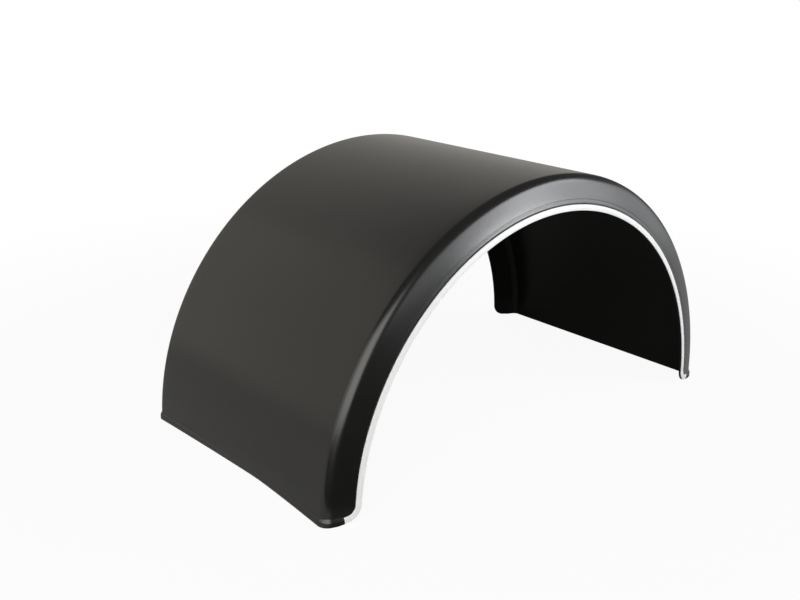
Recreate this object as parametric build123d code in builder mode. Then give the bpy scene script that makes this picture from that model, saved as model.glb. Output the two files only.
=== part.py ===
from build123d import *
from math import acos, asin, atan2, cos, degrees, hypot, radians, sin, sqrt, tan
import os

# Half-round mudguard for a twin-tyre axle: one moulded shell and a strip along the edge of its outer side.
# Millimetres. +X runs along the span, +Y towards the vehicle and +Z up. The side with the strip faces -Y.
# The origin is at the bottom centre of the whole part, which stands on the cut ends of its two legs.

# Driving dimensions of the shell
outer_radius = 605.0         # outer face of the wall, measured from the arch axis
end_above_axis = 4.0         # both legs are cut this far above the axis, just short of a half circle
shoulder_width = 625.0       # across the wall, to the planes that square shoulders would reach
wall = 5.0                   # moulded thickness, the same all over
shoulder_radius = 16.0
flange_drop = 51.3           # from the outer face in to the fine crease on the flange, towards the axis
band_drop = 24.3             # and from the crease in to the flange's free edge
flange_start_angle = 11.0    # flare of the flange where it leaves the shoulder, in degrees
flange_end_angle = 23.5      # its flare at the crease: the flange between is a shallow cove
band_angle = 12.0            # flare of the flat band between the crease and the free edge
crease_round = 2.0
free_edge_bevel = 0.8

# Driving dimensions of the raised rib round the cut end of each leg
rib_proud = 3.5
rib_height = 14.0            # full thickness up to here
rib_fade = 8.0               # and from there it fades into the wall over this height

# Driving dimensions of the foot, where the free edge turns the corner
corner_radius = 34.0         # of the free edge
toe_rake = 8.0               # the flange's bottom line rises towards the free edge, in degrees
toe_height = 3.5             # the bottom line above the ground where the strip ends
turned_length = 5.0          # straight stretch of the edge between the corner and the end of the strip

# Driving dimensions of the strip, which lies on the flat band and follows the free edge
strip_width = 13.0
strip_inset = 0.3            # from the free edge to the strip's lower side
strip_rim = 1.6              # thickness at its two sides
strip_crown = 2.1            # thickness in the middle of its rounded face
strip_bevel = 0.7            # on the two edges of its face
groove_place = 3.3           # middle of the fine groove in its face, from the lower side
groove_depth = 0.5
bond_gap = 0.2               # film of glue between the strip and the shell
end_gap = 0.3                # between the strip's square end and the rib
seat_margin = 1.5            # the flat seat under the turned strip is this much wider than the strip

# Section of the shell, in a plane through the arch axis: r from the axis, w outward from the mid-plane
half_width = shoulder_width / 2
start_flare = radians(flange_start_angle)
end_flare = radians(flange_end_angle)
band_flare = radians(band_angle)
crease_radius = outer_radius - flange_drop
edge_radius = crease_radius - band_drop
shoulder_centre =(outer_radius - shoulder_radius, half_width - shoulder_radius)
flange_top = (shoulder_centre[0] + shoulder_radius * sin(start_flare),
              shoulder_centre[1] + shoulder_radius * cos(start_flare))
cove_radius = (flange_top[0] - crease_radius) / (sin(end_flare) - sin(start_flare))
cove_centre = (flange_top[0] + cove_radius * sin(start_flare), flange_top[1] + cove_radius * cos(start_flare))
crease = (crease_radius, cove_centre[1] - cove_radius * cos(end_flare))
free_edge = (edge_radius, crease[1] + (crease_radius - edge_radius) * tan(band_flare))

# Section of the strip: s runs from the shell's free edge towards the shoulder, t outward from its face
with BuildSketch() as strip_profile:
    lower_side = strip_inset
    upper_side = strip_inset + strip_width
    with BuildLine():
        Polyline((upper_side, bond_gap + strip_rim), (upper_side, bond_gap), (lower_side, bond_gap),
                 (lower_side, bond_gap + strip_rim))
        ThreePointArc((lower_side, bond_gap + strip_rim), (lower_side + strip_width / 2, bond_gap + strip_crown),
                      (upper_side, bond_gap + strip_rim))
    make_face()
    chamfer(strip_profile.vertices().group_by(Axis.Y)[-1], strip_bevel)
    with Locations((lower_side + groove_place, bond_gap + strip_crown)):
        RegularPolygon(groove_depth, 4, mode=Mode.SUBTRACT)

# The strip makes the outer side reach further than the inner one, so the shell sits a little off centre
strip_side = free_edge[1] + strip_profile.sketch.rotate(Axis.Z, -band_angle).bounding_box().max.Y
plain_side = free_edge[1] - free_edge_bevel * sin(band_flare)
mid_y = (strip_side - plain_side) / 2

arch_axis = Axis((0, mid_y, -end_above_axis), (0, -1, 0))
section_plane = Plane(origin=(0, mid_y, -end_above_axis), x_dir=(1, 0, 0), z_dir=(0, 0, -1))
ground_plane = Plane(origin=(0, mid_y, 0), x_dir=(1, 0, 0), z_dir=(0, 0, -1))


def turn_angle(start):
    """Angle that the free edge turns through at the foot, from where the corner starts to the raked line."""
    rise = cos(start)
    lean = cos(band_flare) * sin(start)
    return acos(sin(radians(toe_rake)) / hypot(rise, lean)) - atan2(lean, rise)


def start_for_toe():
    """Angle above the arch axis where the corner starts, so that the strip ends at the toe height."""
    start = 0.0
    for _ in range(20):
        turn = turn_angle(start)
        along = corner_radius * (1 - cos(turn)) + turned_length * sin(turn)
        down = corner_radius * sin(turn) + turned_length * cos(turn)
        drop = down * cos(start) - along * cos(band_flare) * sin(start)
        start = asin((toe_height + drop + end_above_axis) / edge_radius)
    return start


# Frame of the corner on the outer side of the leg at +X: it lies in the plane of the flat band
corner_start = start_for_toe()
corner_turn = turn_angle(corner_start)
edge_point = Vector(edge_radius * cos(corner_start), mid_y - free_edge[1],
                    edge_radius * sin(corner_start) - end_above_axis)
inward = Vector(cos(band_flare) * cos(corner_start), sin(band_flare), cos(band_flare) * sin(corner_start))
downward = Vector(sin(corner_start), 0, -cos(corner_start))
outward = downward.cross(inward)
corner_centre = edge_point + inward * corner_radius
corner_axis = Axis(corner_centre, outward)
corner_plane = Plane(origin=edge_point, x_dir=inward, z_dir=downward)

# The same frame after the corner, where the edge runs on to the shoulder along the raked bottom line
turned_inward = inward * cos(corner_turn) - downward * sin(corner_turn)
turned_along = downward * cos(corner_turn) + inward * sin(corner_turn)
turned_point = corner_centre - turned_inward * corner_radius
turned_plane = Plane(origin=turned_point, x_dir=turned_inward, z_dir=turned_along)
strip_end = turned_point + turned_along * turned_length
seat_width = upper_side + seat_margin
cut_depth = 3 * wall         # how far the cutting shapes reach past the faces that they cut


def half_profile():
    """Outer face of the section, from the mid-plane over the shoulder to the free edge."""
    Line((outer_radius, 0), (outer_radius, shoulder_centre[1]))
    CenterArc(shoulder_centre, shoulder_radius, 0, 90 - flange_start_angle)
    CenterArc(cove_centre, cove_radius, 270 - flange_start_angle, flange_start_angle - flange_end_angle)
    Line(crease, free_edge)


# Section of the flat seat that the turned strip lies on, and of what is cut away to make room for both
with BuildSketch() as seat_profile:
    Rectangle(seat_width, wall, align=(Align.MIN, Align.MAX))
    chamfer(seat_profile.vertices().group_by(Axis.X)[0], free_edge_bevel)
with BuildSketch() as room_profile:
    with Locations((-corner_radius, 0)):
        Rectangle(corner_radius + seat_width, 2 * cut_depth, align=(Align.MIN, Align.CENTER))

# Rib round the end of the leg, on the wall, the shoulder and the flange as far as the end of the strip
with BuildPart() as end_rib:
    with BuildSketch(ground_plane):
        for depth, side in ((wall / 2, Side.LEFT), (rib_proud, Side.RIGHT)):
            with BuildLine():
                half_profile()
                offset(amount=depth, side=side)
            make_face()
    extrude(amount=-(rib_height + rib_fade))
    split(bisect_by=Plane(origin=strip_end, z_dir=turned_along), keep=Keep.TOP)
    fade_top = end_above_axis + rib_height + rib_fade
    fade_depth = rib_proud + outer_radius - sqrt(outer_radius**2 - fade_top**2)
    outer_faces = end_rib.faces().filter_by(lambda face: face.normal_at().X > 0.1)
    top_face = end_rib.faces().sort_by(Axis.Z)[-1]
    chamfer(outer_faces.edges().group_by(Axis.Z)[-1], length=fade_depth, length2=rib_fade, reference=top_face)

# One quarter of the shell, mirrored to the far side and then to the other leg
with BuildPart() as guard_shell:
    with BuildSketch(section_plane) as shell_section:
        with BuildLine():
            half_profile()
            offset(amount=wall, side=Side.LEFT)
        make_face()
        fillet(shell_section.vertices().sort_by_distance(crease)[0], crease_round)
        chamfer(shell_section.vertices().sort_by(Axis.X)[:2], free_edge_bevel)
    revolve(axis=arch_axis, revolution_arc=90)
    split(bisect_by=Plane.XY, keep=Keep.TOP)
    add(end_rib.part)
    # Everything below the raked bottom line of the flange is cut off
    with BuildSketch(Plane(origin=strip_end, x_dir=turned_along, z_dir=outward)):
        Rectangle(outer_radius - edge_radius, corner_radius, align=(Align.MIN, Align.MAX))
    extrude(amount=cut_depth, both=True, mode=Mode.SUBTRACT)
    # The corner of the foot is cut away and made again as the flat seat, which follows the turned edge
    for profile, mode in ((room_profile, Mode.SUBTRACT), (seat_profile, Mode.ADD)):
        with BuildSketch(corner_plane):
            add(profile.sketch)
        revolve(axis=corner_axis, revolution_arc=degrees(corner_turn), mode=mode)
        with BuildSketch(turned_plane):
            add(profile.sketch)
        extrude(amount=turned_length, mode=mode)
    mirror(about=Plane.XZ.offset(-mid_y))
    mirror(about=Plane.YZ)

# Half of the strip, from the crown down round the corner of the foot to its square-cut end, then mirrored
with BuildPart() as edge_strip:
    for axis, arc in ((arch_axis, 90 - degrees(corner_start)), (corner_axis, degrees(corner_turn))):
        with BuildSketch(corner_plane):
            add(strip_profile.sketch)
        revolve(axis=axis, revolution_arc=arc)
    with BuildSketch(turned_plane):
        add(strip_profile.sketch)
    extrude(amount=turned_length - end_gap)
    mirror(about=Plane.YZ)

os.makedirs("parts", exist_ok=True)
guard_shell.part.label = "guard_shell"
edge_strip.part.label = "edge_strip"
export_step(guard_shell.part, "parts/guard_shell.step")
export_step(edge_strip.part, "parts/edge_strip.step")

print("corner starts", round(degrees(corner_start), 2), "degrees up and turns", round(degrees(corner_turn), 2))
print("overall", [round(size, 2) for size in (guard_shell.part + edge_strip.part).bounding_box().size])
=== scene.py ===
# %% [markdown]
# # A half-round mudguard, finished in Blender
# The part is a black moulded plastic arch that covers a pair of lorry tyres, with a white strip glued along
# the edge of its outer side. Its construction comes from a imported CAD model, which stays as a hidden frame.
# This notebook builds the two surfaces that are seen, gives them their finishes, and lights them.
#
# The frame comes first. Everything is in metres, with X along the span, Y across the width and Z up, so a
# surface that is worked out from the same sizes lands where the CAD has it.

# %% Load the frame
import math

import bpy
import numpy as np
from mathutils import Matrix, Vector


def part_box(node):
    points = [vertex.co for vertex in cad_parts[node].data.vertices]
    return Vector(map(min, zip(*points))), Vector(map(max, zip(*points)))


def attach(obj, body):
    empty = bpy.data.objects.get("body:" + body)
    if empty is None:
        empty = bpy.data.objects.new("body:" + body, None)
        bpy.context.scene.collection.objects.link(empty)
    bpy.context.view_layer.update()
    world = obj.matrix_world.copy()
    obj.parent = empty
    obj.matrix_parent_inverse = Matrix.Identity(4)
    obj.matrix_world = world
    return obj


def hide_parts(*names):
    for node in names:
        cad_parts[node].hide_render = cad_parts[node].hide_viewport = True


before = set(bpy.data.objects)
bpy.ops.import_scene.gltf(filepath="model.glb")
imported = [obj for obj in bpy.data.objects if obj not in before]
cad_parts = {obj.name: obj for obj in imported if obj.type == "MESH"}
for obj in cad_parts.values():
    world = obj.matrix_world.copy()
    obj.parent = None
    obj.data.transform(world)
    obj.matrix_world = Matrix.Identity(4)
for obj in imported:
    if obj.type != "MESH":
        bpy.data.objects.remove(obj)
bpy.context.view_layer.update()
MM = 0.001

# %% [markdown]
# ## The sizes that shape the guard
# A moulding like this is drawn as one section that is turned round an axis. The section of each side has six
# stretches: the flat seat of the strip, a band up to a fine crease, the gently rounded flange, the lower and
# upper part of the shoulder, and the wall. One way to draw it is as separate lines and arcs. A shorter way is
# used here: each stretch has a length and a flare angle at its start and end, and adding up small steps along
# that angle gives the whole outline. Straight stretches keep their angle, and arcs change it evenly.

# %% Sizes of the section
outer_radius = 605 * MM
axis_depth = 4 * MM            # the arch axis lies this far below the ground
half_width = 312.5 * MM        # to the planes that square shoulders would reach
wall = 5 * MM
shoulder_radius = 16 * MM      # of its upper part, next to the wall
blend_radius = 30 * MM         # of its lower part, next to the flange
crease_radius = 553.7 * MM
crease_offset = 324.3 * MM     # the crease lies this far out from the mid-plane
edge_radius = 529.4 * MM
seat_length = 14 * MM          # the flat seat reaches just past the strip
seat_flare = math.radians(11.3)
crease_flare = math.radians(13.0)
blend_flare = math.radians(18.0)
shoulder_flare = math.radians(45.0)


def length_for(drop, first, last):
    """Length of a stretch that falls by the drop towards the axis while its flare goes evenly from a to b.
    The running sum of cos f along it is length (sin a - sin b) / (a - b)."""
    return drop * (first - last) / (math.sin(first) - math.sin(last))


shoulder_drop = shoulder_radius * (1 - math.sin(shoulder_flare))
blend_drop = blend_radius * (math.sin(shoulder_flare) - math.sin(blend_flare))
flange_drop = outer_radius - shoulder_drop - blend_drop - crease_radius
band_drop = crease_radius - edge_radius - seat_length * math.cos(seat_flare)
flange_length = length_for(flange_drop, crease_flare, blend_flare)
flange_radius = flange_length / (blend_flare - crease_flare)
flat_length = (crease_offset - shoulder_radius * math.cos(shoulder_flare)
               - blend_radius * (math.cos(blend_flare) - math.cos(shoulder_flare))
               - flange_radius * (math.cos(crease_flare) - math.cos(blend_flare)))
stretches = [
    (seat_length, seat_flare, seat_flare),
    (length_for(band_drop, crease_flare, seat_flare), seat_flare, crease_flare),
    (flange_length, crease_flare, blend_flare),
    (blend_radius * (shoulder_flare - blend_flare), blend_flare, shoulder_flare),
    (shoulder_radius * (math.pi / 2 - shoulder_flare), shoulder_flare, math.pi / 2),
    (flat_length, math.pi / 2, math.pi / 2),
]
ends = np.cumsum([0.0] + [length for length, first, last in stretches])
crease, flange_end, blend_end, shoulder_end, section_end = ends[2:]
print("section runs", [round(end / MM, 1) for end in ends], "mm from the free edge")

# %% [markdown]
# The outline itself is then a running sum. At flare angle f a small step ds along the face moves cos(f) ds
# away from the arch axis and sin(f) ds towards the middle of the wall, and the face looks along
# (sin f, cos f).

# %% The outline of the section
steps_each = 400               # steps of the running sum on each stretch


def face_of_section(s):
    """Radius, offset from the mid-plane and outward normal of the outer face, at distance s from the edge.
    The flare is linear in s on each stretch, and radius and offset are the sums of its cosine and sine."""
    fine = np.unique(np.concatenate([np.linspace(a, b, steps_each) for a, b in zip(ends[:-1], ends[1:])]))
    middle = (fine[1:] + fine[:-1]) / 2
    which = np.clip(np.searchsorted(ends, middle) - 1, 0, len(stretches) - 1)
    length, first, last = np.array(stretches)[which].T
    flare = first + (last - first) * (middle - ends[which]) / length
    step = np.diff(fine)
    radius = outer_radius - np.append(np.cumsum((np.cos(flare) * step)[::-1])[::-1], 0)
    offset = np.append(np.cumsum((np.sin(flare) * step)[::-1])[::-1], 0)
    angle = np.interp(s, middle, flare)
    return np.interp(s, fine, radius), np.interp(s, fine, offset), np.sin(angle), np.cos(angle)


edge_offset = float(face_of_section(np.array([0.0]))[1][0])
mid_y = float(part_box("guard_shell")[0][1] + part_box("guard_shell")[1][1]) / 2
print("free edge", round(edge_offset / MM, 2), "mm from the mid-plane, at y", round(mid_y / MM, 2), "mm")

# %% [markdown]
# ## The outline of the foot
# At each foot the free edge turns a corner and runs on to the shoulder as a slightly raked bottom line. On
# the real guard the white strip follows that corner, so its outline matters. It is worked out on the flange's
# own face, with s away from the free edge and a down along it: an arc of a circle, then a straight line.
#
# The strip has to end at a chosen height. How high the corner starts, how far it turns and how far down it
# reaches hang on one another, so they are worked out in turn a few times until they agree.

# %% Sizes of the foot
corner_radius = 34 * MM        # of the free edge
toe_rake = math.radians(8.0)
toe_height = 2 * MM            # the bottom line above the ground where the strip ends
turned_length = 8.5 * MM       # straight stretch of the edge between the corner and the strip's end
rib_proud = 3.5 * MM
rib_flat = 8 * MM              # the rib has its full thickness up to here
rib_top = 19 * MM              # and has run out into the wall here
rounds = 20                    # far more than it takes for the corner's start to settle

corner_start = 0.0
for _ in range(rounds):
    lean = math.cos(seat_flare) * math.sin(corner_start)
    rise = math.cos(corner_start)
    turn = math.acos(math.sin(toe_rake) / math.hypot(rise, lean)) - math.atan2(lean, rise)
    along = corner_radius * (1 - math.cos(turn)) + turned_length * math.sin(turn)
    down = corner_radius * math.sin(turn) + turned_length * math.cos(turn)
    drop = down * math.cos(corner_start) - along * lean
    corner_start = math.asin((toe_height + drop + axis_depth) / edge_radius)
strip_end_s = along
print("corner starts", round(math.degrees(corner_start), 2), "degrees up",
      "and turns", round(math.degrees(turn), 1), "degrees")

# %% [markdown]
# The grid of the shell needs that outline as a height for each of its columns. A small helper comes with it:
# a smooth step, which fades one thing into another here and further on.

# %% The outline as a height for each column
def smooth_step(low, high, value):
    """0 below low, 1 above high, and 3x^2 - 2x^3 between, where x is the way from low to high."""
    x = np.clip((value - low) / (high - low), 0, 1)
    return x * x * (3 - 2 * x)


def bottom_line(s, radius, inset):
    """Height of the foot's outline above the ground where a column at distance s meets it.
    On the arc the drop a along the face solves (R - s)^2 + a^2 = R^2, with R the corner's radius less the
    inset. Past the arc the line falls at the rake angle, until it meets the level end of the leg."""
    arc = corner_radius - inset
    turned_s = corner_radius - arc * math.cos(turn)
    drop = np.sqrt(np.clip(arc**2 - (corner_radius - s) ** 2, 0, None))
    on_arc = radius * np.sin(corner_start - np.arctan2(drop, radius)) - axis_depth
    run = (s - strip_end_s) * math.cos(seat_flare)
    on_line = toe_height + inset / math.cos(toe_rake) - run * math.tan(toe_rake)
    return np.where(s < turned_s, on_arc, np.maximum(on_line, inset))


shown_s = np.array([0.0, 0.2, 0.5, 1.0]) * strip_end_s
shown_heights = bottom_line(shown_s, edge_radius, 0)
print("outline at", np.round(shown_s / MM, 1), "is", np.round(shown_heights / MM, 1), "mm up")

# %% [markdown]
# ## Columns and rows
# The shell is a grid. Columns run along the arch, close together where the section is tightly curved or has a
# fine line, and in the band they are spaced so that their lower ends fall evenly round the corner of the
# foot. Rows run across. Near the ground they are about a millimetre apart, because the raised rib runs out
# there.

# %% Columns and rows of the grid
corner_reach = math.acos(1 - crease / corner_radius)     # where the corner's arc meets the crease
corner_angles = np.linspace(0, 0.95, 15) * corner_reach
flange_columns, blend_columns, shoulder_columns, wall_columns = 13, 10, 12, 13
gap_place = 13.9 * MM          # middle of the narrow gap along the upper side of the strip
across_gap = np.array([-0.95, -0.65, -0.45, -0.3, -0.15, 0, 0.15, 0.3, 0.45, 0.65, 0.95]) * MM
across_crease = 0.8 * across_gap
rib_start = strip_end_s + np.array([-1.2, -0.4, 0.0, 0.4, 0.8, 1.4]) * MM
fine_columns = np.concatenate([gap_place + across_gap, crease + across_crease, rib_start])
column_space = 0.8 * MM        # the band's and the flange's other columns keep this far from the fine ones

foot_top = 72 * MM             # the rows below here start from the foot's outline
rib_rows_top = 24 * MM         # and up to here they are closest
rib_rows, leg_rows, rows_on_arch = 30, 16, 85
foot_rows = np.concatenate([np.linspace(0, rib_rows_top, rib_rows),
                            np.linspace(rib_rows_top, foot_top, leg_rows)[1:]]) / foot_top
arch_rows = np.linspace(0, 1, rows_on_arch)[1:]


def column_places(inset):
    """Distance of each column from the free edge, for an outline that is moved in by the inset."""
    band = corner_radius - (corner_radius - inset) * np.cos(corner_angles)
    coarse = np.concatenate([band, np.linspace(crease, flange_end, flange_columns)[1:-1]])
    coarse = coarse[np.min(np.abs(coarse[:, None] - fine_columns), axis=1) > column_space]
    blend = np.linspace(flange_end, blend_end, blend_columns)[:-1]
    shoulder = np.linspace(blend_end, shoulder_end, shoulder_columns)
    across = np.linspace(shoulder_end, section_end, wall_columns)[1:]
    return np.sort(np.concatenate([coarse, fine_columns, blend, shoulder, across]))


print("columns in a half", len(column_places(0)), "rows in a quarter", len(foot_rows) + len(arch_rows))

# %% [markdown]
# ## Relief on the outer face
# Two things stand out from the plain section. The rib round the end of each leg is a raised border that runs
# out into the wall. And round the corner of the foot the strip needs a flat seat, so the face, which falls
# away a little from the plane of the seat, is filled up to it there.
#
# Two fine lines are sunk into the flange, and both show as dark lines in the photograph. At the crease it is
# a low step, towards which the band sinks slowly. Along the upper side of the strip it is a narrow gap. All
# of this could be separate meshes pushed into the shell. As heights on one grid it keeps the moulding a
# single skin, as the real one is.

# %% Relief as heights
seat_width = 14.8 * MM
seat_fade = 2 * MM             # the seat runs out this far on both sides of its upper border
seat_past_strip = 9 * MM       # and over this length past the end of the strip
rib_rise_before = 0.1 * MM     # the rib rises from this far before the end of the strip
rib_rise_after = 0.8 * MM      # to this far past it
gap_depth = 0.85 * MM
gap_half_width = 0.5 * MM
line_depth = 0.4 * MM          # of the step at the crease
line_half_width = 0.35 * MM
line_run = 8 * MM              # length over which the band sinks towards it
lines_fade = 50 * MM           # height over which the fine lines run out above the foot


def relief(s, height, above_line):
    """Height of the face above the plain section.
    The rib is full below and falls smoothly to nothing at its top. It starts past the end of the strip.
    The seat lifts the face to the plane of the band at the free edge: its distance behind that plane."""
    radius, offset = face_of_section(s)[:2]
    sag = (edge_radius - radius) * math.sin(seat_flare) + (edge_offset - offset) * math.cos(seat_flare)
    seat = sag * (1 - smooth_step(seat_width - seat_fade, seat_width + seat_fade, above_line))
    past_strip = smooth_step(strip_end_s, strip_end_s + seat_past_strip, s)
    seat = np.where(s < flange_end, seat, 0) * (1 - past_strip)
    rib = rib_proud * (1 - smooth_step(rib_flat, rib_top, height))
    return np.maximum(rib * smooth_step(strip_end_s - rib_rise_before, strip_end_s + rib_rise_after, s), seat)


def fine_lines(s, height):
    """Depth of the two fine lines. The gap is a bell exp(-((s - place) / half width)^2). The crease is a low
    step: towards it the band sinks slowly, and there the face comes back at once."""
    gap = gap_depth * np.exp(-(((s - gap_place) / gap_half_width) ** 2))
    sunk = smooth_step(crease - line_run, crease - line_half_width, s)
    step = line_depth * sunk * (1 - smooth_step(crease - line_half_width, crease + line_half_width, s))
    return (gap + step) * smooth_step(foot_top, foot_top + lines_fade, height)


on_wall = relief(np.array([section_end]), np.array([0.0, rib_flat, rib_top]), 0)
print("rib on the wall stands", np.round(on_wall / MM, 2), "mm proud at its foot, its flat's top and its top")

# %% [markdown]
# ## Layers of the shell
# The skin has an outer face, an inner face 5 mm behind it, and a rounded rim that joins them all the way
# round the outline. Each is the same surface function with other values for two things: how far the outline
# is moved in, and how deep the points lie below the outer face. A quarter is worked out and mirrored twice.

# %% One layer of the shell
def quarter_layer(inset, depth, raised):
    """Rows by columns of points on the +X, -Y quarter. A point at radius R and height z has x from
    R^2 = x^2 + (z + d)^2, with d the depth of the axis below the ground."""
    s = column_places(inset)[None, :]
    face_radius, face_offset, out_radial, out_side = face_of_section(s)
    foot_line = bottom_line(s, face_radius, inset)
    height = foot_line + (foot_top - foot_line) * foot_rows[:, None]
    lift = relief(s, height, height - foot_line) * raised - depth
    radius = face_radius + out_radial * lift
    offset = face_offset + out_side * lift
    foot_angle = np.arcsin((height + axis_depth) / radius)
    level = face_radius - out_radial * depth
    first = np.arcsin((foot_top + axis_depth) / level)
    arch_angle = first + (math.pi / 2 - first) * arch_rows[:, None]
    angle = np.vstack([foot_angle, arch_angle])
    sunk = depth + raised * fine_lines(s, level * np.sin(arch_angle) - axis_depth)
    radius = np.vstack([radius, face_radius - out_radial * sunk])
    offset = np.vstack([offset, face_offset - out_side * sunk])
    return np.stack([radius * np.cos(angle), mid_y - offset, radius * np.sin(angle) - axis_depth], axis=-1)


def whole_layer(inset, depth, raised):
    """The quarter, mirrored across the width and then along the span. Shared rows and columns stay single."""
    quarter = quarter_layer(inset, depth, raised)
    far = quarter[:, -2::-1] * [1, -1, 1] + [0, 2 * mid_y, 0]
    half = np.concatenate([quarter, far], axis=1)
    return np.concatenate([half, half[-2::-1] * [-1, 1, 1]], axis=0)


print("a layer has", "%d rows of %d points" % whole_layer(0, 0, 1).shape[:2])

# %% [markdown]
# ## The bowed end of the left leg
# The photograph shows that the end of the left leg isn't straight. It rises between its two corners, by up to
# 15 mm, and the rib is narrower there: about half of the rise is a bow of the leg, as a large thin moulding
# gets when it has stood on its edge, and half is a wandering trim line. The near corner of that foot also
# stands out by 2.5 mm. The same gentle displacement is applied to the shell and to the strip, so that they
# stay together. It fades out higher up the leg.

# %% Bow of the left leg
bow_height = 14.8 * MM
bow_place = -90 * MM           # the highest point of the bow, across the width
bow_reach = 150 * MM           # height up the leg over which it fades out
near_power, far_power = 1.4, 1.25                        # how fast it falls towards each corner
trim_share = 0.45              # share of the rise that is trimmed off the rib
splay = 2.5 * MM               # the near corner stands out by this much


def bowed(points):
    """Lifts points near the ground on the left leg by a smooth hump across the width, and splays the corner.
    The hump is the product of two falling powers, one towards each corner."""
    x, y, z = np.moveaxis(points, -1, 0)
    near = np.clip((y - bow_place) / (-half_width - bow_place), 0, 1)
    far = np.clip((y - bow_place) / (half_width - bow_place), 0, 1)
    hump = (1 - near**near_power) * (1 - far**far_power) * (x < 0)
    low = 1 - smooth_step(0, bow_reach, z)
    trim = trim_share * np.clip(1 - z / rib_top, 0, 1)
    out = splay * low * near**2 * (x < 0)
    return np.stack([x, y - out, z + bow_height * hump * ((1 - trim_share) * low + trim)], axis=-1)


across_end = np.linspace(-half_width, half_width, 5)
left_end = np.stack([np.full(5, -outer_radius), across_end, np.zeros(5)], axis=-1)
print("the left leg's end rises by", np.round(bowed(left_end)[:, 2] / MM, 1), "mm across its width")

# %% [markdown]
# ## From layers to a mesh
# The outer and inner layers are whole grids. Between them come only the border points of a few more layers,
# which round the rim: moving along a quarter circle, the outline comes out to its full size while the depth
# grows, and on the inner side it goes back in. Faces are index sums on whole arrays, with no loop over
# points. A few helpers serve both pieces.

# %% Helpers that make a mesh
def grid_faces(numbers):
    """Four corners of each cell of a grid of point numbers."""
    corners = [numbers[:-1, :-1], numbers[:-1, 1:], numbers[1:, 1:], numbers[1:, :-1]]
    return np.stack(corners, -1).reshape(-1, 4)


def border(grid):
    """The border of a grid, once round, as a line of its entries."""
    return np.concatenate([grid[0, :-1], grid[:-1, -1], grid[-1, :0:-1], grid[:0:-1, 0]])


def make_piece(name, points, faces):
    """A mesh object from points and four-cornered faces, smooth, with its faces turned outward.
    The sign of the summed corner volumes says whether the faces point in or out."""
    a, b, c, d = points[faces].transpose(1, 0, 2)
    volume = np.einsum("ij,ij->", a, np.cross(b, c)) + np.einsum("ij,ij->", a, np.cross(c, d))
    if volume < 0:
        faces = faces[:, ::-1]
    mesh = bpy.data.meshes.new(name)
    mesh.from_pydata(points, [], faces)
    mesh.polygons.foreach_set("use_smooth", np.ones(len(faces), dtype=bool))
    mesh.validate()
    piece = bpy.data.objects.new(name, mesh)
    bpy.context.scene.collection.objects.link(piece)
    print(name, len(points), "points", 2 * len(faces), "triangles")
    return piece


small_grid = np.arange(6).reshape(2, 3)
print("faces of a 2 by 3 grid", grid_faces(small_grid).tolist(), "its border", border(small_grid).tolist())

# %% [markdown]
# With them the shell is a short list: the outer grid, the rim's loops and the inner grid.

# %% The shell
rim_round = 0.8 * MM
rim_angles = np.radians([0, 30, 60, 90])


def build_shell():
    """Outer grid, rim layers and inner grid. On the rim the inset is r(1 - sin q), the depth r(1 - cos q)."""
    outer_side = [(rim_round * (1 - math.sin(q)), rim_round * (1 - math.cos(q)), 1) for q in rim_angles]
    inner_side = [(inset, wall - depth, 0) for inset, depth, raised in outer_side[::-1]]
    layers = [bowed(whole_layer(*layer)) for layer in outer_side + inner_side]
    rows, columns = layers[0].shape[:2]
    outer = np.arange(rows * columns).reshape(rows, columns)
    rims = [border(layer) for layer in layers[1:-1]]
    loops = outer.size + np.arange(sum(map(len, rims))).reshape(len(rims), -1)
    inner = outer + outer.size + loops.size
    chain = np.vstack([border(outer), loops, border(inner)])
    chain = np.hstack([chain, chain[:, :1]])
    points = np.vstack([layers[0].reshape(-1, 3), *rims, layers[-1].reshape(-1, 3)])
    faces = np.vstack([grid_faces(outer)[:, ::-1], grid_faces(chain), grid_faces(inner)])
    return make_piece("moulded_shell", points, faces)


shell = build_shell()
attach(shell, "root")
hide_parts("guard_shell")

# %% [markdown]
# ## The white strip
# The strip is a flexible profile that is stuck on along the band. It has a rounded face, a fine groove near
# its lower side and small rounds on its edges. It could be a curve with a bevel profile, but a curve twists
# the profile where its path turns. Here the profile is carried along the path by the same two face distances
# as the outline of the foot, so its lower side stays parallel to the free edge all the way round the corner.

# %% Section of the strip
strip_width = 13 * MM
strip_inset = 0.3 * MM         # from the free edge to the strip's lower side
strip_rim = 1.6 * MM           # thickness at its two sides
strip_crown = 2.1 * MM         # and in the middle
strip_round = 0.8 * MM
groove_place = 3.3 * MM        # middle of the groove, from the lower side
groove_depth = 0.45 * MM
groove_half_width = 0.5 * MM
bond_gap = 0.2 * MM            # film of glue between the strip and the shell
round_points, face_points = 6, 41
across_groove = np.linspace(-1.4, 1.4, 11) * MM
groove_space = 1.5 * MM        # the face's other points keep this far from the groove's middle


def strip_section():
    """Closed outline of the strip: distance from the free edge, and height above the band.
    The face is a parabola with a bell-shaped groove, and its two ends are rounded by quarter circles."""
    turn_in = np.linspace(0, math.pi / 2, round_points)
    inner = np.linspace(strip_round, strip_width - strip_round, face_points)[1:-1]
    inner = inner[np.abs(inner - groove_place) > groove_space]
    inner = np.sort(np.concatenate([inner, groove_place + across_groove]))
    x = np.concatenate([[0], strip_round * (1 - np.cos(turn_in)), inner,
                        strip_width - strip_round * (1 - np.cos(turn_in[::-1])), [strip_width]])
    swell = 1 - (2 * x / strip_width - 1) ** 2
    face = strip_rim + (strip_crown - strip_rim) * swell
    groove = groove_depth * np.exp(-(((x - groove_place) / groove_half_width) ** 2))
    rounding = strip_round * (1 - np.sin(turn_in))
    cut = np.concatenate([[0], rounding, np.zeros(len(inner)), rounding[::-1], [0]])
    t = face - groove - cut
    t[0] = t[-1] = 0
    return strip_inset + x, bond_gap + t


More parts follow.
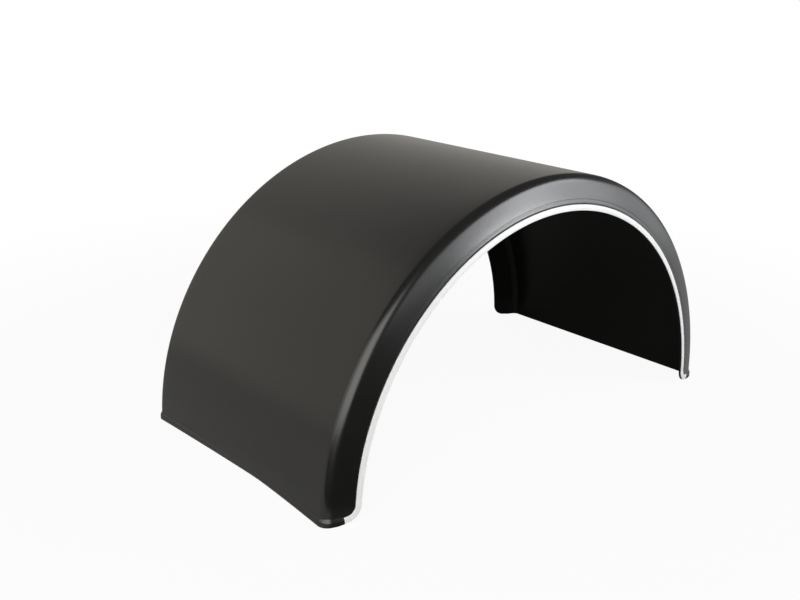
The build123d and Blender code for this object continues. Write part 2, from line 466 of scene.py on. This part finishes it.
section_s, section_t = strip_section()
print("strip section has", len(section_s), "points and is", round(section_t.max() / MM, 2), "mm high")

# %% [markdown]
# The path has three parts: the arch, the corner and a short straight stretch. Both ends are cut square and
# closed, and the second half of the strip is the mirror image of the first.

# %% The strip along its path
arch_points, corner_points = 150, 29
straight_shares = np.array([0.35, 0.7, 0.9, 1.0])        # places of the points on the straight stretch
end_gap = 0.3 * MM             # between the strip's end and the rib


def strip_half():
    """Points of the half from the crown to the square end. On the arch the path is an angle. Round the
    corner a point at distance s moves on a circle of radius R - s about the corner's centre, and after it
    straight."""
    s, t = section_s[None, :], section_t[None, :]
    arch = np.linspace(math.pi / 2, corner_start, arch_points)[:-1, None]
    corner = np.linspace(0, turn, corner_points)[:, None]
    straight = straight_shares[:, None] * (turned_length - end_gap)
    corner_s = corner_radius - (corner_radius - s) * np.cos(corner)
    corner_a = (corner_radius - s) * np.sin(corner)
    last_s = corner_s[-1:] + straight * math.sin(turn)
    last_a = corner_a[-1:] + straight * math.cos(turn)
    face_s = np.vstack([np.repeat(s, len(arch), axis=0), corner_s, last_s])
    drop = np.vstack([np.zeros((len(arch), s.size)), corner_a, last_a])
    radius = edge_radius + face_s * math.cos(seat_flare) + t * math.sin(seat_flare)
    offset = edge_offset - face_s * math.sin(seat_flare) + t * math.cos(seat_flare)
    start = np.vstack([arch, np.full((len(radius) - len(arch), 1), corner_start)])
    angle = start - np.arctan2(drop, radius)
    return np.stack([radius * np.cos(angle), mid_y - offset, radius * np.sin(angle) - axis_depth], axis=-1)


def build_strip():
    """The half and its mirror image as one tube, closed at both ends by a face across the profile."""
    half = strip_half()
    tube = bowed(np.concatenate([half[::-1], half[1:] * [-1, 1, 1]], axis=0))
    rows, columns = tube.shape[:2]
    numbers = np.arange(rows * columns).reshape(rows, columns)
    around = np.hstack([numbers, numbers[:, :1]])
    top = np.arange(1, columns // 2)
    pairs = np.stack([top - 1, top, columns - 1 - top, columns - top], -1)
    caps = np.vstack([numbers[0][pairs], numbers[-1][pairs][:, ::-1]])
    return make_piece("white_strip", tube.reshape(-1, 3), np.vstack([grid_faces(around), caps]))


strip = build_strip()
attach(strip, "root")
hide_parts("edge_strip")

# %% [markdown]
# ## Finishes
# Both pieces are plastic. The guard is moulded polyethylene: nearly black, with a satin skin whose gloss
# varies a little from place to place, a very fine grain, and faint rubs from handling. A single grey number
# would look like paint. The variation is worked out from noise on Object coordinates, in node groups that
# both materials can use, so no image is needed and nothing slides when the view changes. Some short
# functions add the nodes that come up again and again.

# %% Helpers that add nodes
def new_group(name, inputs, output):
    """An empty shader node group with float inputs and one float output, and its two end nodes."""
    group = bpy.data.node_groups.new(name, "ShaderNodeTree")
    for label, value in inputs.items():
        socket = group.interface.new_socket(label, in_out="INPUT", socket_type="NodeSocketFloat")
        socket.default_value = value
    group.interface.new_socket(output, in_out="OUTPUT", socket_type="NodeSocketFloat")
    return group, group.nodes.new("NodeGroupInput"), group.nodes.new("NodeGroupOutput")


def group_node(tree, group, values):
    """The output of one node that uses a group, with its inputs set by name."""
    node = tree.nodes.new("ShaderNodeGroup")
    node.node_tree = group
    for label, value in values.items():
        node.inputs[label].default_value = value
    return node.outputs[0]


def noise_node(tree, scale, detail, roughness):
    """Noise on Object coordinates, which stay with the piece."""
    place = tree.nodes.new("ShaderNodeTexCoord")
    noise = tree.nodes.new("ShaderNodeTexNoise")
    noise.inputs["Scale"].default_value = scale
    noise.inputs["Detail"].default_value = detail
    noise.inputs["Roughness"].default_value = roughness
    tree.links.new(place.outputs["Object"], noise.inputs["Vector"])
    return noise.outputs["Fac"]


def math_node(tree, operation, *values):
    """One Math node. Each value is a number or another node's output."""
    node = tree.nodes.new("ShaderNodeMath")
    node.operation = operation
    for socket, value in zip(node.inputs, values):
        if isinstance(value, (int, float)):
            socket.default_value = value
        else:
            tree.links.new(value, socket)
    return node.outputs[0]


def ramp_node(tree, value, span, result):
    """One Map Range node, which takes the span to the result and holds it beyond both ends."""
    ramp = tree.nodes.new("ShaderNodeMapRange")
    ramp.inputs["From Min"].default_value, ramp.inputs["From Max"].default_value = span
    ramp.inputs["To Min"].default_value, ramp.inputs["To Max"].default_value = result
    tree.links.new(value, ramp.inputs["Value"])
    return ramp.outputs["Result"]


def colour_mix(tree, factor, first, second):
    """One Mix node that goes from the first colour to the second."""
    mix = tree.nodes.new("ShaderNodeMix")
    mix.data_type = "RGBA"
    mix.inputs["A"].default_value = (*first, 1)
    mix.inputs["B"].default_value = (*second, 1)
    tree.links.new(factor, mix.inputs["Factor"])
    return mix.outputs["Result"]


print("node helpers ready")

# %% [markdown]
# Two groups hold what both plastics share. One gives the bump height of a moulded skin. The other gives a
# mask that says where the surface has been handled. Each is only noise, and its inputs say how much of it.

# %% Node groups: moulded grain and handling
grain_noise = (1400, 2, 0.5)   # scale, detail and roughness of each noise
wave_noise = (9, 1.5, 0.5)
patch_noise = (5, 4, 0.6)
rub_noise = (60, 6, 0.7)
rub_span = (0.55, 0.75)        # the part of the noise that shows as rubs
half_share = 0.5               # what every input is until a material sets it


def make_grain_group():
    """Bump height of a moulded skin: fine grain plus a slower unevenness, each with its own share."""
    group, ins, outs = new_group("moulded_grain", {"Grain": half_share, "Waves": half_share}, "Height")
    grain = math_node(group, "MULTIPLY", noise_node(group, *grain_noise), ins.outputs["Grain"])
    waves = noise_node(group, *wave_noise)
    height = math_node(group, "MULTIPLY_ADD", waves, ins.outputs["Waves"], grain)
    group.links.new(height, outs.inputs["Height"])
    return group


def make_handling_group():
    """A mask of dull patches and faint rubs: broad noise for patches, and fine noise, sharpened, for rubs."""
    group, ins, outs = new_group("handling", {"Patches": half_share, "Rubs": half_share}, "Mask")
    patches = math_node(group, "MULTIPLY", noise_node(group, *patch_noise), ins.outputs["Patches"])
    sharp = ramp_node(group, noise_node(group, *rub_noise), rub_span, (0, 1))
    rubs = math_node(group, "MULTIPLY", sharp, ins.outputs["Rubs"])
    group.links.new(math_node(group, "ADD", patches, rubs), outs.inputs["Mask"])
    return group


grain_group = make_grain_group()
handling_group = make_handling_group()
for group in (grain_group, handling_group):
    print("group", group.name, [item.name for item in group.interface.items_tree])

# %% [markdown]
# A material then mixes two colours and two roughnesses by the handling mask, and feeds the grain to a Bump
# node. Values that don't vary, such as the refractive index, are set straight on the shader. On a black as
# deep as this nearly all that shows is mirrored light, so its index matters more than its colour. It is a
# little above that of plain polyethylene, because the lamps show brightly in the photographed guard while
# what is dark round it stays dark.

# %% Plastic material
bump_height = 0.2 * MM


def make_plastic(name, colours, roughness, ior, grain, waves, patches, rubs, bump):
    """Principled plastic whose colour and roughness move between two values by the handling mask."""
    material = bpy.data.materials.new(name)
    material.use_nodes = True
    tree = material.node_tree
    shader = tree.nodes["Principled BSDF"]
    shader.inputs["IOR"].default_value = ior
    mask = group_node(tree, handling_group, {"Patches": patches, "Rubs": rubs})
    tree.links.new(colour_mix(tree, mask, *colours), shader.inputs["Base Color"])
    tree.links.new(ramp_node(tree, mask, (0, 1), roughness), shader.inputs["Roughness"])
    skin = tree.nodes.new("ShaderNodeBump")
    skin.inputs["Strength"].default_value = bump
    skin.inputs["Distance"].default_value = bump_height
    tree.links.new(group_node(tree, grain_group, {"Grain": grain, "Waves": waves}), skin.inputs["Height"])
    tree.links.new(skin.outputs["Normal"], shader.inputs["Normal"])
    return material


black = make_plastic("black_polyethylene", colours=((0.003, 0.003, 0.0025), (0.006, 0.0057, 0.005)),
                     roughness=(0.2, 0.3), ior=1.58, grain=0.35, waves=1.0, patches=0.7, rubs=0.15, bump=0.5)
white = make_plastic("white_vinyl", colours=((0.79, 0.795, 0.79), (0.72, 0.725, 0.715)),
                     roughness=(0.32, 0.45), ior=1.5, grain=0.15, waves=0.5, patches=0.5, rubs=0.2, bump=0.3)
for piece, material in ((shell, black), (strip, white)):
    piece.data.materials.clear()
    piece.data.materials.append(material)
print("materials", black.name, white.name)

# %% [markdown]
# ## Floor, light and camera
# The photograph is a studio shot on white. The floor is a large pale plate under a white world. Seen by the
# camera, most of its colour comes from emission, so that it reads as white without more light on the object.
# The rest is diffuse near the guard, so that it keeps a soft shadow there, and fades out further away.
#
# In the photograph the inside of the arch and the flange of the left leg mirror something dark: there the
# floor lay in shade. That shade is painted: the rays that leave the object meet a dark floor colour, which
# the camera doesn't see. It has two parts: a runner as wide as the arch, which is a little lighter, and the
# ground in front of the guard as far as its right foot. Everywhere else they meet the pale floor.

# %% Floor
floor_size = 30.0              # half of the plate's side
floor_drop = 0.5 * MM          # the plate lies this far below the ground
floor_tone = 0.8
floor_roughness = 0.9
floor_glow = 0.93              # share of emission in what the camera sees near the guard
glow_reach = (0.9, 2.2)        # distances between which that share rises to 1
# painted shade: a dark floor colour that only the object's rays meet, where the floor lay in shade
painted_shade_tone = 0.06
arch_shade_share = 0.84               # of its darkness that the runner under the arch has
shade_half_width = 0.6                 # half of the runner's width, and where the front part ends on the right
shade_front = -0.38              # the front part starts here
shade_edge = 10 * MM             # its borders run out this far on both sides


def edge_mask(tree, coordinate, place, sign):
    """0 to 1 where the coordinate passes a place, rising if the sign is 1 and falling if it is -1."""
    return ramp_node(tree, coordinate, (place - sign * shade_edge, place + sign * shade_edge), (0, 1))


def painted_shade_mask(tree, place):
    """1 on the painted shade and 0 beside it. The larger of two masks is both areas, the smaller is where
    they meet.
    """
    axes = tree.nodes.new("ShaderNodeSeparateXYZ")
    tree.links.new(place, axes.inputs["Vector"])
    under = math_node(tree, "MULTIPLY", edge_mask(tree, axes.outputs["X"], -shade_half_width, 1), arch_shade_share)
    front = edge_mask(tree, axes.outputs["Y"], shade_front, -1)
    inside = edge_mask(tree, axes.outputs["X"], shade_half_width, -1)
    return math_node(tree, "MINIMUM", math_node(tree, "MAXIMUM", under, front), inside)


def floor_material():
    """Diffuse, with the painted shade for all rays but the camera's. The camera's see it mixed with white
    emission.
    """
    material = bpy.data.materials.new("studio_floor")
    material.use_nodes = True
    tree = material.node_tree
    shader = tree.nodes["Principled BSDF"]
    shader.inputs["Roughness"].default_value = floor_roughness
    seen = tree.nodes.new("ShaderNodeLightPath").outputs["Is Camera Ray"]
    place = tree.nodes.new("ShaderNodeTexCoord").outputs["Object"]
    # painted shade: on these areas the floor is dark for every ray but the camera's
    shade_amount = math_node(tree, "MULTIPLY", painted_shade_mask(tree, place), math_node(tree, "SUBTRACT", 1.0, seen))
    tree.links.new(colour_mix(tree, shade_amount, [floor_tone] * 3, [painted_shade_tone] * 3), shader.inputs["Base Color"])
    distance = tree.nodes.new("ShaderNodeVectorMath")
    distance.operation = "LENGTH"
    tree.links.new(place, distance.inputs[0])
    share = ramp_node(tree, distance.outputs["Value"], glow_reach, (floor_glow, 1.0))
    mix = tree.nodes.new("ShaderNodeMixShader")
    tree.links.new(math_node(tree, "MULTIPLY", seen, share), mix.inputs["Fac"])
    tree.links.new(shader.outputs["BSDF"], mix.inputs[1])
    tree.links.new(tree.nodes.new("ShaderNodeEmission").outputs["Emission"], mix.inputs[2])
    tree.links.new(mix.outputs["Shader"], tree.nodes["Material Output"].inputs["Surface"])
    return material


def make_floor():
    """A square plate on the ground, in quarters so that it has its centre under the guard."""
    line = np.linspace(-floor_size, floor_size, 3)
    x, y = np.meshgrid(line, line, indexing="ij")
    points = np.stack([x, y, np.full_like(x, -floor_drop)], axis=-1).reshape(-1, 3)
    mesh = bpy.data.meshes.new("floor")
    mesh.from_pydata(points, [], grid_faces(np.arange(9).reshape(3, 3)))
    mesh.materials.append(floor_material())
    floor = bpy.data.objects.new("floor", mesh)
    bpy.context.scene.collection.objects.link(floor)
    return floor


floor = make_floor()
print("floor", 2 * floor_size, "m square")

# %% [markdown]
# The world does two jobs. To the camera it is white, as the photograph's background is. To everything else
# it is a dim, even light, which opens the faces that mirror no lamp.

# %% World
world_light = 0.2
world = bpy.data.worlds.new("studio")
bpy.context.scene.world = world
world.use_nodes = True
tree = world.node_tree
background = tree.nodes["Background"]
background.inputs["Color"].default_value = (1, 1, 1, 1)
seen = tree.nodes.new("ShaderNodeLightPath").outputs["Is Camera Ray"]
tree.links.new(ramp_node(tree, seen, (0, 1), (world_light, 1.0)), background.inputs["Strength"])
print("world light", world_light)

# %% [markdown]
# Soft boxes stand round the object, and each is an area lamp that looks at a point of the guard. Glossy black
# plastic shows little but the lamps that it mirrors, so the question for each part of the flange, the
# shoulder and the wall is which direction it mirrors, and how bright that should be. One large lamp would
# light the guard evenly. The photograph has a bright sweep on the flange near the top and a dark flange on
# the left leg, so there are many boxes, each with its own brightness. Two wide ones at the back open the
# wall. The others stand upright on two circles, the left one mostly for the wall and the left leg, and the
# right one for the flange.

# %% Lamps
def soft_box(name, place, target, size, brightness, colour):
    """A rectangular area lamp at a place, turned to look at a target. Size in metres.
    The power that gives a face of area A the brightness L, where white is 1, is pi A L."""
    lamp = bpy.data.lights.new(name, "AREA")
    lamp.shape = "RECTANGLE"
    lamp.size, lamp.size_y = size
    lamp.energy = math.pi * size[0] * size[1] * brightness
    lamp.color = colour
    lamp_object = bpy.data.objects.new(name, lamp)
    way = Vector(target) - Vector(place)
    turn_to = way.to_track_quat("-Z", "Y").to_matrix().to_4x4()
    lamp_object.matrix_world = Matrix.Translation(Vector(place)) @ turn_to
    lamp_object.visible_camera = False
    bpy.context.scene.collection.objects.link(lamp_object)
    print(name, "at", [round(part, 2) for part in place], round(lamp.energy), "W")


def upright_box(name, stand, azimuth, width, low, high, brightness, colour):
    """A soft box that stands upright between two heights, on a circle of radius d about (x, y) of its stand.
    Its azimuth and its width are in degrees, and a width w there is 2 d tan(w / 2) metres."""
    (x, y, distance), angle, middle = stand, math.radians(azimuth), (low + high) / 2
    place = (x + distance * math.cos(angle), y + distance * math.sin(angle), middle)
    size = (2 * distance * math.tan(math.radians(width) / 2), high - low)
    soft_box(name, place, (x, y, middle), size, brightness, colour)


warm, cream, plain, cool = (1.0, 0.935, 0.83), (1.0, 0.95, 0.88), (1.0, 0.995, 0.98), (0.96, 0.975, 1.0)
left_stand = (-0.4, -0.33, 3.0)
right_stand = (0.0, -0.33, 4.0)
upright_boxes = [
    # stand, azimuth, width, low, high, brightness, colour
    (left_stand, 175, 40, 0.3, 3.0, 1.3, cream),
    (left_stand, 209, 29, 0.3, 3.3, 2.7, plain),
    (left_stand, 238, 29, 0.02, 2.8, 3.1, plain),
    (right_stand, -78, 21, 0.5, 2.3, 1.2, cool),
    (right_stand, -61.5, 12, 0.85, 2.4, 3.6, cool),
    (right_stand, -49, 13, 0.85, 2.5, 7.2, cool),
    (right_stand, -51.5, 17, 0.4, 0.85, 16.0, cool),
    (right_stand, -34.5, 16, 0.5, 1.5, 3.7, cool),
    (right_stand, -34.5, 16, 1.5, 2.6, 6.0, cool),
    (right_stand, -19.5, 13, 0.02, 1.5, 1.6, cool),
    (right_stand, -6.5, 13, 0.02, 1.5, 0.8, cool),
]
soft_box("lamp_back_left", place=(-4.6, 4.0, 2.3), target=(-4.6, 0.0, 1.9), size=(7.0, 4.6),
         brightness=0.52, colour=warm)
soft_box("lamp_back_right", place=(3.2, 4.0, 2.3), target=(3.2, 0.0, 1.9), size=(8.6, 4.6),
         brightness=0.345, colour=warm)
for number, box in enumerate(upright_boxes):
    upright_box("lamp_%d" % number, *box)

# %% [markdown]
# The camera was placed by fitting the section's outlines to the photograph: its place, its two angles, a
# slight roll, and its focal length in pixels of an image 800 pixels wide. Blender wants the lens in
# millimetres on a sensor 36 mm wide, which is a simple ratio.

# %% Camera
camera_place = (-1.6034, -1.6292, 1.0107)
camera_azimuth = math.radians(-41.761)
camera_elevation = math.radians(18.573)
camera_roll = math.radians(1.468)
focal_pixels = 1005.0
image_width = 800
sensor_width = 36              # in millimetres, as Blender has it


def make_camera():
    """A camera with axes from azimuth and elevation, which then turn by the roll about the line of sight."""
    back = Vector((math.sin(camera_azimuth) * math.cos(camera_elevation),
                   -math.cos(camera_azimuth) * math.cos(camera_elevation), math.sin(camera_elevation)))
    right = (-back).cross(Vector((0, 0, 1))).normalized()
    up = back.cross(right)
    rolled_right = right * math.cos(camera_roll) + up * math.sin(camera_roll)
    rolled_up = up * math.cos(camera_roll) - right * math.sin(camera_roll)
    data = bpy.data.cameras.new("camera")
    data.sensor_width = sensor_width
    data.lens = focal_pixels / image_width * sensor_width
    camera = bpy.data.objects.new("camera", data)
    turned = Matrix((rolled_right, rolled_up, back)).transposed().to_4x4()
    camera.matrix_world = Matrix.Translation(Vector(camera_place)) @ turned
    bpy.context.scene.collection.objects.link(camera)
    bpy.context.scene.camera = camera
    print("camera lens", round(data.lens, 2), "mm")


make_camera()
bpy.context.scene.view_settings.view_transform = "Standard"
